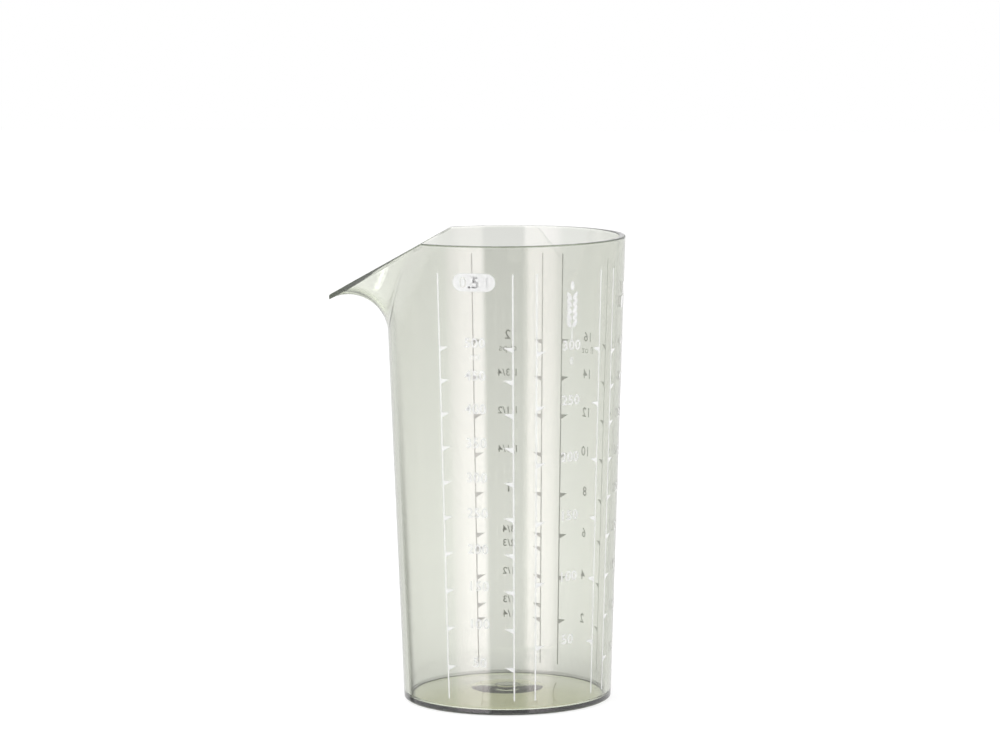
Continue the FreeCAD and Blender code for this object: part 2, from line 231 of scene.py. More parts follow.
@dataclass(frozen=True)
class Moulding:
    """The clear cup: a tapered wall, a floor that rises to the middle, and a pointed pouring lip."""

    height: float = 160.0
    rim_radius: float = 41.4
    base_radius: float = 35.8
    wall: float = 2.1
    base_round: float = 0.9
    inner_round: float = 1.2
    floor: float = 1.57
    crown_radius: float = 8.6
    foot_ring: float = 2.9
    floor_rise: float = 1.97
    middle_radius: float = 12.3
    gate_radius: float = 3.8
    gate_depth: float = 0.6
    gate_draft: float = 0.3
    corner_angle: float = 55.0
    spout_projection: float = 19.9
    tip_drop: float = 20.9
    nose_radius: float = 1.5
    tip_edge: float = 1.7
    side_edge: float = 1.1
    keel_foot_drop: float = 34.0
    side_foot_drop: float = 6.5
    rim_round: float = 0.6
    edge_break: float = 0.25
    floor_break: float = 0.3
    worn_foot: float = 2.0
    foot_wear: float = 0.2
    ring_margin: float = 0.1
    wear_blend: float = 0.4
    # Points along the parts of a section, both ends counted.
    wall_points: int = 16
    arc_points: int = 24
    corner_points: int = 5
    edge_points: int = 3
    rim_points: int = 6
    foot_points: int = 12
    bowl_points: int = 14
    crown_points: int = 12
    # Sections on each side of the lip's middle: on the lip, from there to the rim's corner, and behind.
    lip_sections: int = 78
    shoulder_sections: int = 18
    back_sections: int = 88
    nose_crowding: float = 1.5
    past_corner: float = 0.01

    # ---- lines of the wall, as radius and height ----

    @property
    def taper(self) -> float:
        """Growth of the radius for each unit of height."""
        return (self.rim_radius - self.base_radius) / self.height

    @property
    def up(self) -> np.ndarray:
        """Direction up the wall in a cross-section."""
        return np.array([self.taper, 1.0]) / math.hypot(self.taper, 1.0)

    @property
    def out(self) -> np.ndarray:
        """Direction square to the wall, pointing outwards."""
        return np.array([self.up[1], -self.up[0]])

    def outside(self, height: np.ndarray | float) -> np.ndarray | float:
        """Radius of the wall's outside at a height."""
        return self.base_radius + self.taper * height

    def inside(self, height: np.ndarray | float) -> np.ndarray | float:
        """Radius of the wall's inside at a height."""
        return self.outside(height) - self.wall / self.up[1]

    # ---- mouth and lip ----

    @property
    def tip(self) -> float:
        """Distance of the lip's tip from the axis."""
        return self.rim_radius + self.spout_projection

    @property
    def apex(self) -> float:
        """Distance at which the lip's two straight sides would meet."""
        return self.tip + self.nose_radius / 2

    @property
    def chord(self) -> float:
        """Distance from the axis, along -X, at which the mouth starts to slope."""
        return self.rim_radius * math.cos(math.radians(self.corner_angle))

    @property
    def slope(self) -> float:
        """Fall of the mouth for each unit along -X."""
        return self.tip_drop / (self.tip - self.chord)

    def mouth(self, reach: np.ndarray | float) -> np.ndarray | float:
        """Height of the mouth at a distance from the axis along -X: level, then sloping."""
        return np.minimum(self.height, self.height - self.slope * (reach - self.chord))

    @cached_property
    def root(self) -> tuple[float, float]:
        """Where the lip's straight side, seen from above, touches the wall.

        Returns:
            The radius and the azimuth.
        """
        height = self.mouth(self.rim_radius ** 2 / self.apex) - self.side_edge
        radius = self.outside(height)
        return radius, math.acos(radius / self.apex)

    def lip_edge(self, turn: np.ndarray) -> tuple[np.ndarray, np.ndarray]:
        """Radius and height of the lower line of the lip's blunt edge.

        From above, the edge is a circle at the nose, then a straight line that touches the wall's circle,
        then the wall itself. Its height is the mouth's, less the height of the blunt edge.

        Args:
            turn: Azimuths without their sign.

        Returns:
            The radii and the heights.
        """
        radius, spread = self.root
        centre = self.apex - self.nose_radius / math.cos(spread)
        nose_end = math.atan2(self.nose_radius * math.sin(spread), centre + self.nose_radius * math.cos(spread))
        half_chord = np.sqrt(np.maximum(self.nose_radius ** 2 - (centre * np.sin(turn)) ** 2, 0))
        nose = centre * np.cos(turn) + half_chord
        side = radius / np.cos(spread - turn)
        reach = np.where(turn < nose_end, nose, side)
        share = np.minimum(turn / spread, 1.0)
        level = self.mouth(reach * np.cos(turn)) - self.tip_edge - share * (self.side_edge - self.tip_edge)
        fall = self.slope * np.cos(turn)
        crest = self.height + self.slope * self.chord
        wall_level = (crest - fall * self.base_radius) / (1 + fall * self.taper)
        wall_level = np.minimum(wall_level, self.height) - self.side_edge
        on_lip = turn < spread
        return np.where(on_lip, reach, self.outside(wall_level)), np.where(on_lip, level, wall_level)

    def crossing(self, centre: np.ndarray, radius: np.ndarray, turn: np.ndarray) -> np.ndarray:
        """Point where the inside of a cross-section meets the mouth.

        The inside is a circle, and the mouth two straight lines, of which the lower one counts. A circle
        meets a line at the foot of its centre's perpendicular, plus half the chord along the line.

        Args:
            centre: Centres of the circles.
            radius: Their radii.
            turn: Azimuths without their sign.

        Returns:
            The points, as radius and height.
        """
        found = []
        for fall in (self.slope * np.cos(turn), np.zeros_like(turn)):
            crest = self.height + fall * self.chord / np.cos(turn)
            length = np.hypot(fall, 1.0)
            away = (centre[:, 1] + fall * centre[:, 0] - crest) / length
            along = np.stack([-1 / length, fall / length], axis=1)
            square = np.stack([fall / length, 1 / length], axis=1)
            half = np.sqrt(np.maximum(radius ** 2 - away ** 2, 0))
            found.append(centre - square * away[:, None] + along * half[:, None])
        level, sloping = found[1], found[0]
        return np.where((sloping[:, 1] < level[:, 1])[:, None], sloping, level)

    def sections(self, azimuth: np.ndarray) -> tuple[np.ndarray, np.ndarray]:
        """Cross-sections of the cup, from the middle of the underside to the middle of the floor.

        The outside runs straight up the wall to a foot, then curls out in an arc that starts along the wall
        and ends at the lip's edge. The inside is the same line moved in by the wall. Where there is no lip
        the arc is flat. The foot drops from the wall's edge to the keel with the cube of a sine.

        Args:
            azimuth: Azimuths, one for each section.

        Returns:
            An array of sections, points, and radius and height, and how satin each point is, from 0 to 1.
        """
        turn = np.abs(azimuth)
        count = len(turn)
        up, out = self.up, self.out
        share = np.minimum(turn / self.root[1], 1.0)
        rise = np.sin(share * math.pi / 2) ** 3
        foot_z = self.height - self.keel_foot_drop - rise * (self.side_foot_drop - self.keel_foot_drop)
        foot = np.stack([self.outside(foot_z), foot_z], axis=1)
        lip = np.stack(self.lip_edge(turn), axis=1)
        chord = lip - foot
        half_turn = np.maximum(np.arctan2(chord @ out, chord @ up), 1e-5)
        radius = np.hypot(*chord.T) / (2 * np.sin(half_turn))
        centre = foot + radius[:, None] * out

        def arc(angles: np.ndarray, depth: float) -> np.ndarray:
            """Points on the arc, or on its parallel at a depth, at angles turned from the foot."""
            reach = (radius[:, None] + depth)[..., None]
            return centre[:, None] + reach * (np.sin(angles)[..., None] * up - np.cos(angles)[..., None] * out)

        def straight(start: np.ndarray, end: np.ndarray, steps: int) -> np.ndarray:
            """Points from start to end of each section, both included."""
            share_along = np.linspace(0.0, 1.0, steps)[None, :, None]
            return start[:, None] * (1 - share_along) + end[:, None] * share_along

        def corner(start: np.ndarray, peak: np.ndarray, end: np.ndarray) -> np.ndarray:
            """Rounded corner: a quadratic Bezier curve from start to end that heads for peak."""
            t = np.linspace(0.0, 1.0, self.corner_points)[1:-1][None, :, None]
            return (1 - t) ** 2 * start[:, None] + 2 * t * (1 - t) * peak[:, None] + t ** 2 * end[:, None]

        def on_mouth(reach: np.ndarray) -> np.ndarray:
            """Points of the mouth's flat edge at radii."""
            return np.stack([reach, self.mouth(reach * np.cos(turn))], axis=1)

        small = self.edge_break
        sweep = np.linspace(0.0, 1.0, self.arc_points)
        outer_end = 2 * half_turn - small / radius
        outer_arc = arc(outer_end[:, None] * sweep, 0.0)
        fall = self.slope * np.cos(turn)
        slope_top = self.height + self.slope * self.chord
        to_slope = (slope_top - fall * lip[:, 0] - lip[:, 1]) / (up[1] + fall * up[0])
        edge_height = np.minimum(to_slope, (self.height - lip[:, 1]) / up[1])
        crest = lip + edge_height[:, None] * up
        rim_round = np.minimum(self.rim_round, edge_height - small / 2)
        brink = self.crossing(centre, radius + self.wall, turn)
        from_centre = centre - brink
        inner_end = np.arctan2(-from_centre @ up, from_centre @ out) - rim_round / (radius + self.wall)
        inner_arc = arc(inner_end[:, None] * sweep[::-1], self.wall)
        rim_start, rim_end = on_mouth(crest[:, 0] - rim_round), on_mouth(brink[:, 0] + rim_round)
        along_rim = np.linspace(0.0, 1.0, self.rim_points)[None, :]
        rim_reach = along_rim * (rim_end - rim_start)[:, :1] + rim_start[:, :1]
        rim = np.stack([rim_reach, self.mouth(rim_reach * np.cos(turn)[:, None])], axis=2)
        edge_start, edge_end = lip + small * up, crest - rim_round[:, None] * up

        underside, bowl = (np.broadcast_to(line, (count, *line.shape))
                           for line in (self.underside(), self.bowl()))
        outer = [underside, straight(underside[:, -1], foot, self.wall_points)[:, 1:-1], outer_arc]
        edge = [corner(outer_arc[:, -1], lip, edge_start), straight(edge_start, edge_end, self.edge_points)]
        brow = [corner(edge_end, crest, rim_start)]
        inner = [
            rim,
            corner(rim_end, brink, inner_arc[:, 0]),
            inner_arc,
            straight(inner_arc[:, -1], bowl[:, 0], self.wall_points)[:, 1:-1],
            bowl,
        ]
        groups = (outer, edge, brow, inner)
        counts = [sum(part.shape[1] for part in group) for group in groups]
        points = np.concatenate([part for group in groups for part in group], axis=1)
        on_edge, on_brow = np.repeat(np.eye(len(groups))[1:3], counts, axis=1)
        below = np.arange(points.shape[1]) < underside.shape[1] - 1
        on_foot = self.foot_wear * (below & (points[..., 0] > self.foot_ring_radius - self.ring_margin))
        return points, (1 - share)[:, None] * on_edge + on_brow + on_foot

    # ---- floor ----

    @property
    def foot_ring_radius(self) -> float:
        """Inside of the flat ring that the cup stands on."""
        return self.base_radius - self.base_round - self.foot_ring

    @property
    def floor_slope(self) -> float:
        """Rise of the floor for each unit towards the middle."""
        return self.floor_rise / (self.foot_ring_radius - self.middle_radius)

    @property
    def round_centre(self) -> np.ndarray:
        """Centre of the rounding between the floor and the wall."""
        height = self.floor + self.inner_round
        return np.array([self.inside(height) - self.inner_round / self.up[1], height])

    @property
    def even_floor(self) -> float:
        """Height of a level floor that would take up as much room as the coned one."""
        cone = self.floor_slope * self.round_centre[0] ** 3 / 3
        return self.floor + cone / self.inside(0.0) ** 2

    def underside(self) -> np.ndarray:
        """Outline from the gate in the middle to the wall just above the worn foot.

        It runs straight from corner to corner, each of them softened, and turns up the wall in an arc.

        Returns:
            The points, as radius and height.
        """
        gate_z = self.floor_rise + self.gate_depth
        round_x = self.outside(self.base_round) - self.base_round / self.up[1]
        angle = np.linspace(-math.pi / 2, -math.atan(self.taper), self.foot_points)
        edge = self.base_round * np.stack([np.cos(angle), np.sin(angle)], 1) + [round_x, self.base_round]
        corners = [
            (0.0, gate_z),
            (self.gate_radius, gate_z),
            (self.gate_radius + self.gate_draft, self.floor_rise),
            (self.middle_radius, self.floor_rise),
            (self.foot_ring_radius, 0.0),
            edge[0],
        ]
        wall = [(self.outside(height), height) for height in (self.worn_foot, self.worn_foot + self.wear_blend)]
        return np.concatenate([softened(np.array(corners), self.floor_break), edge[1:], wall])

    def bowl(self) -> np.ndarray:
        """Outline inside, from the foot of the wall to the middle of the floor.

        It is an arc, then the straight line of a shallow cone, then the arc of a crown that the cone runs
        into without a bend.

        Returns:
            The points, as radius and height.
        """
        slope, crown_x = self.floor_slope, self.crown_radius
        angle = np.linspace(-math.atan(self.taper), -math.pi / 2 - math.atan(slope), self.bowl_points)
        turn = self.round_centre + self.inner_round * np.stack([np.cos(angle), np.sin(angle)], 1)
        crown_z = turn[-1, 1] + slope * (turn[-1, 0] - crown_x)
        radius = crown_x * math.hypot(1.0, 1 / slope)
        reach = crown_x * np.linspace(1.0, 0.0, self.crown_points)
        crown = np.stack([reach, crown_z - crown_x / slope + np.sqrt(radius ** 2 - reach ** 2)], 1)
        return np.concatenate([turn, crown])

    def azimuths(self) -> np.ndarray:
        """Azimuths of the sections, close together at the nose and at the rim's two corners.

        Returns:
            The azimuths, from the lip all the way round.
        """
        spread, corner = self.root[1], math.radians(self.corner_angle) + self.past_corner
        lip = spread * np.linspace(0.0, 1.0, self.lip_sections) ** self.nose_crowding
        shoulder = np.linspace(spread, corner, self.shoulder_sections)[1:]
        back = np.linspace(corner, math.pi, self.back_sections)[1:]
        side = np.concatenate([lip, shoulder, back])
        return np.concatenate([side, -side[-2:0:-1]])

    def build(self, name: str) -> Object:
        """Makes the cup's mesh: the sections joined round the axis, closed at both middles.

        Args:
            name: Name of the object.

        Returns:
            The new object.
        """
        azimuth = self.azimuths()
        section, mark = self.sections(azimuth)
        flat = np.stack([
            -section[..., 0] * np.cos(azimuth)[:, None],
            -section[..., 0] * np.sin(azimuth)[:, None],
            section[..., 1],
        ], axis=2)
        return turned_shell(name, flat * MM, mark)


def softened(line: np.ndarray, reach: float) -> np.ndarray:
    """Rounds each inner corner of a line with a quadratic Bezier curve.

    Args:
        line: Points of the line.
        reach: Length that a corner gives up on each side, and never over a third of a run.

    Returns:
        The points of the rounded line, with the same ends.
    """
    runs = np.diff(line, axis=0)
    lengths = np.hypot(*runs.T)
    heading = runs / lengths[:, None]
    cut = np.minimum(reach, np.minimum(lengths[:-1], lengths[1:]) / 3)[:, None]
    start, end = line[1:-1] - heading[:-1] * cut, line[1:-1] + heading[1:] * cut
    t = np.linspace(0.0, 1.0, 4)[None, :, None]
    curve = (1 - t) ** 2 * start[:, None] + 2 * t * (1 - t) * line[1:-1, None] + t ** 2 * end[:, None]
    return np.concatenate([line[:1], curve.reshape(-1, 2), line[-1:]])


def turned_shell(name: str, grid: np.ndarray, mark: np.ndarray) -> Object:
    """Makes a closed mesh from sections round an axis, whose first and last points are on the axis.

    Each vertex normal is the sum of the area vectors of the faces round it, so that the narrow faces of
    a rounded edge don't tilt the shading of the wide ones beside them.

    Args:
        name: Name of the object.
        grid: Points in metres, an array of sections, points and coordinates.
        mark: A value for each point of each section, kept on the mesh under EDGE_MARK.

    Returns:
        The new object.
    """
    turns, points = grid.shape[0], grid.shape[1] - 2
    poles = np.stack([grid[0, 0], grid[0, -1]])
    vertices = np.concatenate([grid[:, 1:-1].reshape(-1, 3), poles])
    here = np.arange(turns)[:, None] * points + np.arange(points)[None, :]
    after = np.roll(here, -1, axis=0)
    quads = np.stack([here[:, :-1], after[:, :-1], after[:, 1:], here[:, 1:]], axis=2).reshape(-1, 4)
    first, last = np.full(turns, turns * points), np.full(turns, turns * points + 1)
    caps = np.concatenate([
        np.stack([first, after[:, 0], here[:, 0]], axis=1),
        np.stack([here[:, -1], after[:, -1], last], axis=1),
    ])
    normals = np.zeros_like(vertices)
    for faces in (quads, caps):
        corners = vertices[faces]
        area = np.cross(corners[:, 2] - corners[:, 0], corners[:, -1] - corners[:, 1])
        for column in faces.T:
            np.add.at(normals, column, area)
    normals /= np.linalg.norm(normals, axis=1)[:, None]
    mesh = bpy.data.meshes.new(name)
    mesh.vertices.add(len(vertices))
    mesh.vertices.foreach_set("co", vertices.astype(np.float32).ravel())
    loops = np.concatenate([quads.ravel(), caps.ravel()])
    sizes = np.concatenate([np.full(len(quads), 4), np.full(len(caps), 3)])
    mesh.loops.add(len(loops))
    mesh.loops.foreach_set("vertex_index", loops.astype(np.int32))
    mesh.polygons.add(len(sizes))
    mesh.polygons.foreach_set("loop_start", np.concatenate([[0], np.cumsum(sizes)[:-1]]).astype(np.int32))
    mesh.polygons.foreach_set("use_smooth", np.ones(len(sizes), dtype=bool))
    mesh.update(calc_edges=True)
    mesh.validate()
    mesh.normals_split_custom_set_from_vertices(normals.tolist())
    marks = np.concatenate([mark[:, 1:-1].ravel(), mark[0, [0, -1]]])
    mesh.attributes.new(EDGE_MARK, "FLOAT", "POINT").data.foreach_set("value", marks.astype(np.float32))
    return linked(name, mesh)


def linked(name: str, mesh: Mesh | Curve) -> Object:
    """Makes an object and links it to the scene.

    Args:
        name: Name of the object.
        mesh: Its mesh or curve.

    Returns:
        The new object.
    """
    made = bpy.data.objects.new(name, mesh)
    bpy.context.scene.collection.objects.link(made)
    return made


# ---- printing ----

# Points, as sideways distance, height and depth of the film from 0 to 1, and faces by their numbers.
FlatSolid = tuple[np.ndarray, list[list[int]]]


class Figure(Enum):
    """Sizes of lettering, as the height of a figure and how far its outline is pushed out.

    A unit stays thin, because its small letters would run into themselves.
    """

    LITRE = (3.8, 0.08)
    NUMBER = (3.2, 0.065)
    FRACTION = (2.4, 0.05)
    UNIT = (2.4, 0.0)

    @property
    def height(self) -> float:
        """Height of a figure."""
        return self.value[0]

    @property
    def boldness(self) -> float:
        """How far the outline is pushed out."""
        return self.value[1]


class Scale(Enum):
    """Scales, as the millilitres that one unit takes and those that the print stands too high."""

    MILLILITRE = (1.0, 1.2)
    FLOUR = (1.667, -5.8)
    SUGAR = (1.09, -3.8)
    FLUID_OUNCE = (29.14, 10.1)
    CUP = (232.1, 10.2)

    @property
    def unit(self) -> float:
        """Millilitres that one unit takes."""
        return self.value[0]

    @property
    def lift(self) -> float:
        """Millilitres that the print stands above the true level."""
        return self.value[1]


@dataclass(frozen=True)
class Label:
    """One printed word or number, centred on its scale, or left open in a plate with round ends.

    The plate is given by half its width and half its height.
    """

    text: str
    size: Figure
    baseline: float
    plate: tuple[float, float] | None = None


@dataclass(frozen=True)
class Print:
    """The ink on the outside of the wall: a film that follows the cone, just clear of the plastic."""

    cup: Moulding
    film: float = 0.05
    clearance: float = 0.012
    panel_pitch: float = 48.4
    far_panel: int = 2
    tracking: float = 1.08
    strip: float = 0.9
    capital: float = 0.69
    curve_steps: int = 6
    end_points: int = 16
    merge: float = 1e-7

    def level(self, scale: Scale, amount: float) -> float:
        """Height of a tick: a cone's volume grows with the cube of its radius.

        Args:
            scale: The scale.
            amount: Amount in the scale's unit.

        Returns:
            The height.
        """
        millilitres = scale.unit * amount + scale.lift
        start, taper = self.cup.inside(self.cup.even_floor), self.cup.taper
        radius = (start ** 3 + 3 * taper * millilitres * CUBIC_MM / math.pi) ** (1 / 3)
        return (radius - self.cup.inside(0.0)) / taper

    def wrap(self, points: np.ndarray, panel: int) -> np.ndarray:
        """Bends flat artwork round the wall.

        Args:
            points: Points of flat solids.
            panel: Number of the scale, from 0 at the millilitres.

        Returns:
            The points in metres.
        """
        radius = self.cup.outside(points[:, 1]) + self.clearance + points[:, 2] * self.film
        middle = math.pi + math.radians((panel - self.far_panel) * self.panel_pitch)
        azimuth = middle + points[:, 0] / self.cup.outside(points[:, 1])
        return MM * np.stack([-radius * np.cos(azimuth), -radius * np.sin(azimuth), points[:, 1]], axis=1)

    def lettering(self, label: Label) -> FlatSolid:
        """Turns a label into a flat solid.

        In a plate, the figures' outlines are its holes.

        Args:
            label: The label.

        Returns:
            The flat solid, at its height on the wall.
        """
        curve = bpy.data.curves.new(label.text, "FONT")
        curve.body = label.text
        curve.size = label.size.height / self.capital
        curve.align_x = "CENTER"
        curve.space_character = self.tracking
        curve.offset = label.size.boldness
        curve.extrude = half_film = 0.5
        curve.resolution_u = self.curve_steps
        holder = linked(label.text, curve)
        graph = bpy.context.evaluated_depsgraph_get()
        if label.plate:
            outlines = holder.to_curve(graph).copy()
            bpy.data.objects.remove(holder)
            outlines.dimensions, outlines.fill_mode, outlines.extrude = "2D", "BOTH", half_film
            rim = self.round_ended(*label.plate) + [0.0, label.size.height / 2]
            spline = outlines.splines.new("POLY")
            spline.points.add(len(rim) - 1)
            spline.points.foreach_set("co", np.pad(rim, ((0, 0), (0, 2)), constant_values=(0.0, 1.0)).ravel())
            spline.use_cyclic_u = True
            holder = linked(label.text, outlines)
            graph = bpy.context.evaluated_depsgraph_get()
        mesh = bpy.data.meshes.new_from_object(holder.evaluated_get(graph))
        bpy.data.objects.remove(holder)
        if label.plate:
            self.cut_strips(mesh, label.plate[0])
        points = np.empty((len(mesh.vertices), 3), np.float32)
        mesh.vertices.foreach_get("co", points.ravel())
        faces = [list(face.vertices) for face in mesh.polygons]
        bpy.data.meshes.remove(mesh)
        return points + [0.0, label.baseline, half_film], faces

    def round_ended(self, half_width: float, half_height: float) -> np.ndarray:
        """Outline of a plate with round ends: two half circles, joined by straight lines.

        Args:
            half_width: Half its width.
            half_height: Half its height, which is the ends' radius.

        Returns:
            The points, turning left round the middle.
        """
        angle = np.linspace(-math.pi / 2, math.pi / 2, self.end_points)
        end = half_height * np.stack([np.cos(angle), np.sin(angle)], axis=1) + [half_width - half_height, 0.0]
        return np.concatenate([end, -end])

    def cut_strips(self, mesh: Mesh, half_width: float) -> None:
        """Cuts a flat mesh into upright strips, so that it bends round the wall.

        Args:
            mesh: The mesh.
            half_width: Half its width.
        """
        work = bmesh.new()
        work.from_mesh(mesh)
        for place in np.arange(-half_width + self.strip, half_width, self.strip):
            bmesh.ops.bisect_plane(work, geom=[*work.verts, *work.edges, *work.faces],
                                   plane_co=(place, 0.0, 0.0), plane_no=(1.0, 0.0, 0.0))
        work.to_mesh(mesh)
        work.free()

    def flat_solid(self, outline: np.ndarray) -> FlatSolid:
        """Gives a convex outline the depth of the film.

        Args:
            outline: Points that turn left.

        Returns:
            The flat solid.
        """
        count = len(outline)
        lower = np.concatenate([outline, np.zeros((count, 1))], axis=1)
        upper = np.concatenate([outline, np.ones((count, 1))], axis=1)
        ring = np.arange(count)
        after = np.roll(ring, -1)
        sides = np.stack([ring, after, after + count, ring + count], axis=1).tolist()
        return np.concatenate([lower, upper]), [ring[::-1].tolist(), (ring + count).tolist(), *sides]

    def build(self, name: str, panel: int, shapes: list[FlatSolid]) -> Object:
        """Makes one piece from all the flat solids of a scale.

        Args:
            name: Name of the object.
            panel: Number of the scale.
            shapes: The flat solids.

        Returns:
            The new object.
        """
        starts = np.cumsum([0] + [len(points) for points, _ in shapes])
        points = self.wrap(np.concatenate([points for points, _ in shapes]), panel)
        faces = [[index + int(start) for index in face] for start, (_, group) in zip(starts, shapes)
                 for face in group]
        mesh = bpy.data.meshes.new(name)
        mesh.from_pydata(points.tolist(), [], faces)
        work = bmesh.new()
        work.from_mesh(mesh)
        bmesh.ops.remove_doubles(work, verts=work.verts, dist=self.merge)
        bmesh.ops.recalc_face_normals(work, faces=work.faces)
        work.to_mesh(mesh)
        work.free()
        mesh.update()
        return linked(name, mesh)


@dataclass(frozen=True)
class Artwork:
    """Numbers, units and signs of the five scales, and a badge with the volume."""

    printing: Print
    unit_drop: float = 4.2
    ear_height: float = 130.0
    lump_height: float = 138.0
    grain_points: int = 20
    lump_points: int = 32
    badge_height: float = 147.8
    badge_half: tuple[float, float] = (7.3, 2.95)

    def numbers(self, scale: Scale, amounts: dict[str, float], size: Figure = Figure.NUMBER) -> list[Label]:
        """Labels that stand on the levels of their amounts."""
        return [Label(text, size, self.printing.level(scale, amount)) for text, amount in amounts.items()]

    def unit(self, text: str, scale: Scale, amount: float) -> Label:
        """Unit under the topmost number of a scale."""
        return Label(text, Figure.UNIT, self.printing.level(scale, amount) - self.unit_drop)

    def steps(self, scale: Scale, step: int, count: int) -> list[Label]:
        """Numbers at even steps."""
        return self.numbers(scale, {str(step * place): step * place for place in range(1, count + 1)})

    def millilitres(self) -> list[Label]:
        """Numbers every 50 ml, and the nominal volume near the rim.

        Returns:
            The labels.
        """
        baseline = self.badge_height - Figure.LITRE.height / 2
        return [*self.steps(Scale.MILLILITRE, 50, 10), self.unit("ml", Scale.MILLILITRE, 500),
                Label("0.5 l", Figure.LITRE, baseline, self.badge_half)]

    def flour(self) -> list[Label]:
        """Numbers every 50 g of flour."""
        return [*self.steps(Scale.FLOUR, 50, 6), self.unit("g", Scale.FLOUR, 300)]

    def sugar(self) -> list[Label]:
        """Numbers every 50 g of sugar."""
        return [*self.steps(Scale.SUGAR, 50, 9), self.unit("g", Scale.SUGAR, 450)]

    def fluid_ounces(self) -> list[Label]:
        """Numbers every 2 fluid ounces."""
        return [*self.steps(Scale.FLUID_OUNCE, 2, 8), self.unit("fl oz", Scale.FLUID_OUNCE, 16)]

    def cups(self) -> list[Label]:
        """Whole cups in large figures and parts of a cup in small ones.

        Returns:
            The labels.
        """
        parts = {"1/4": 1 / 4, "1/3": 1 / 3, "1/2": 1 / 2, "2/3": 2 / 3, "3/4": 3 / 4,
                 "1 1/4": 5 / 4, "1 1/2": 3 / 2, "1 3/4": 7 / 4}
        labels = self.numbers(Scale.CUP, parts, Figure.FRACTION)
        labels += self.numbers(Scale.CUP, {"1": 1, "2": 2})
        return [*labels, self.unit("cups", Scale.CUP, 2)]

    def wheat_ear(self) -> list[np.ndarray]:
        """Outlines of a wheat ear: a stalk with pairs of grains that lean out, and one grain on top.

        A grain is an ellipse whose half width gets narrower towards the top by a share of its sine.

        Returns:
            The outlines.
        """
        pitch, pairs, spread, lean = 2.3, 5, 1.25, math.radians(28.0)
        half_width, half_length, narrowing = 0.72, 1.55, 0.3
        first, top = self.ear_height + 3.4, self.ear_height + 16.1
        stalk, stalk_foot, stalk_end = 0.2, self.ear_height - 2.5, self.ear_height + 2.0
        angle = np.linspace(0.0, 2 * math.pi, self.grain_points, endpoint=False)
        cosine, sine = np.cos(angle), np.sin(angle)
        grain = np.stack([half_width * cosine * (1 - narrowing * sine), half_length * sine], axis=1)
        outlines = [grain + [0.0, top]]
        for row in range(pairs):
            for side in (-1, 1):
                across, along = math.sin(side * lean), math.cos(side * lean)
                turned = grain @ np.array([[along, -across], [across, along]])
                outlines.append(turned + [side * spread, first + row * pitch])
        corners = ((-1, stalk_foot), (1, stalk_foot), (1, stalk_end), (-1, stalk_end))
        return [*outlines, np.array([(side * stalk, height) for side, height in corners])]

    def sugar_lumps(self) -> list[np.ndarray]:
        """Outlines of three sugar lumps, one on two.

        A lump is the curve on which the fifth powers of both distances from the middle have one sum, which
        is a square with rounded corners.

        Returns:
            The outlines.
        """
        half, gap, power = 2.0, 0.7, 5.0
        angle = np.linspace(0.0, 2 * math.pi, self.lump_points, endpoint=False)
        cosine, sine = np.cos(angle), np.sin(angle)
        size = half / (np.abs(cosine) ** power + np.abs(sine) ** power) ** (1 / power)
        lump = np.stack([size * cosine, size * sine], axis=1)
        shift = half + gap / 2
        places = ([-shift, 0.0], [shift, 0.0], [0.0, 2 * shift])
        return [lump + place + [0.0, self.lump_height] for place in places]

    def build(self) -> list[Object]:
        """Makes one piece for each scale.

        Returns:
            The pieces, from the millilitres to the cups.
        """
        scales = [
            ("millilitre_figures", self.millilitres(), []),
            ("flour_figures", self.flour(), self.wheat_ear()),
            ("sugar_figures", self.sugar(), self.sugar_lumps()),
            ("fluid_ounce_figures", self.fluid_ounces(), []),
            ("cup_figures", self.cups(), []),
        ]
        made = []
        for panel, (name, labels, outlines) in enumerate(scales):
            shapes = [self.printing.lettering(label) for label in labels]
            shapes += [self.printing.flat_solid(outline) for outline in outlines]
            made.append(self.printing.build(name, panel, shapes))
        return made


# ---- studio ----

@dataclass(frozen=True)
class Viewpoint:
    """Where the camera stands and how it is held."""

    place: tuple[float, float, float] = (0.20078, -1.41932, 0.28825)
    heading: float = 98.128
    fall: float = 7.0148
    roll: float = 0.3733
    lens: float = 151.26
    sensor: float = 36.0
    sight: tuple[float, float] = (0.05, 100.0)

    @property
    def right(self) -> Vector:
        """Level direction to the camera's right."""
        turn = math.radians(self.heading)
        return Vector((math.sin(turn), -math.cos(turn), 0.0))

    @property
    def back(self) -> Vector:
        """Level direction from the beaker towards the camera."""
        turn = math.radians(self.heading)
        return Vector((-math.cos(turn), -math.sin(turn), 0.0))

    def build(self) -> Object:
        """Makes the camera: its axes are the level ones tipped down, then turned by the roll.

        Returns:
            The camera.
        """
        fall, roll = math.radians(self.fall), math.radians(self.roll)
        away = -self.back * math.cos(fall) - Vector((0.0, 0.0, math.sin(fall)))
        head = self.right.cross(away)
        right = self.right * math.cos(roll) - head * math.sin(roll)
        head = self.right * math.sin(roll) + head * math.cos(roll)
        data = bpy.data.cameras.new("camera")
        data.lens = self.lens
        data.sensor_width = self.sensor
        data.clip_start, data.clip_end = self.sight
        made = bpy.data.objects.new("camera", data)
        axes = Matrix((right, head, -away)).transposed().to_4x4()
        made.matrix_world = Matrix.Translation(Vector(self.place)) @ axes
        bpy.context.scene.collection.objects.link(made)
        bpy.context.scene.camera = made
        return made


@dataclass(frozen=True)
class Lamp:
    """A square soft lamp: its place sideways, towards the camera and up, in metres, and its power in watts."""

    name: str
    side: float
    ahead: float
    height: float
    power: float
    size: float = 1.0


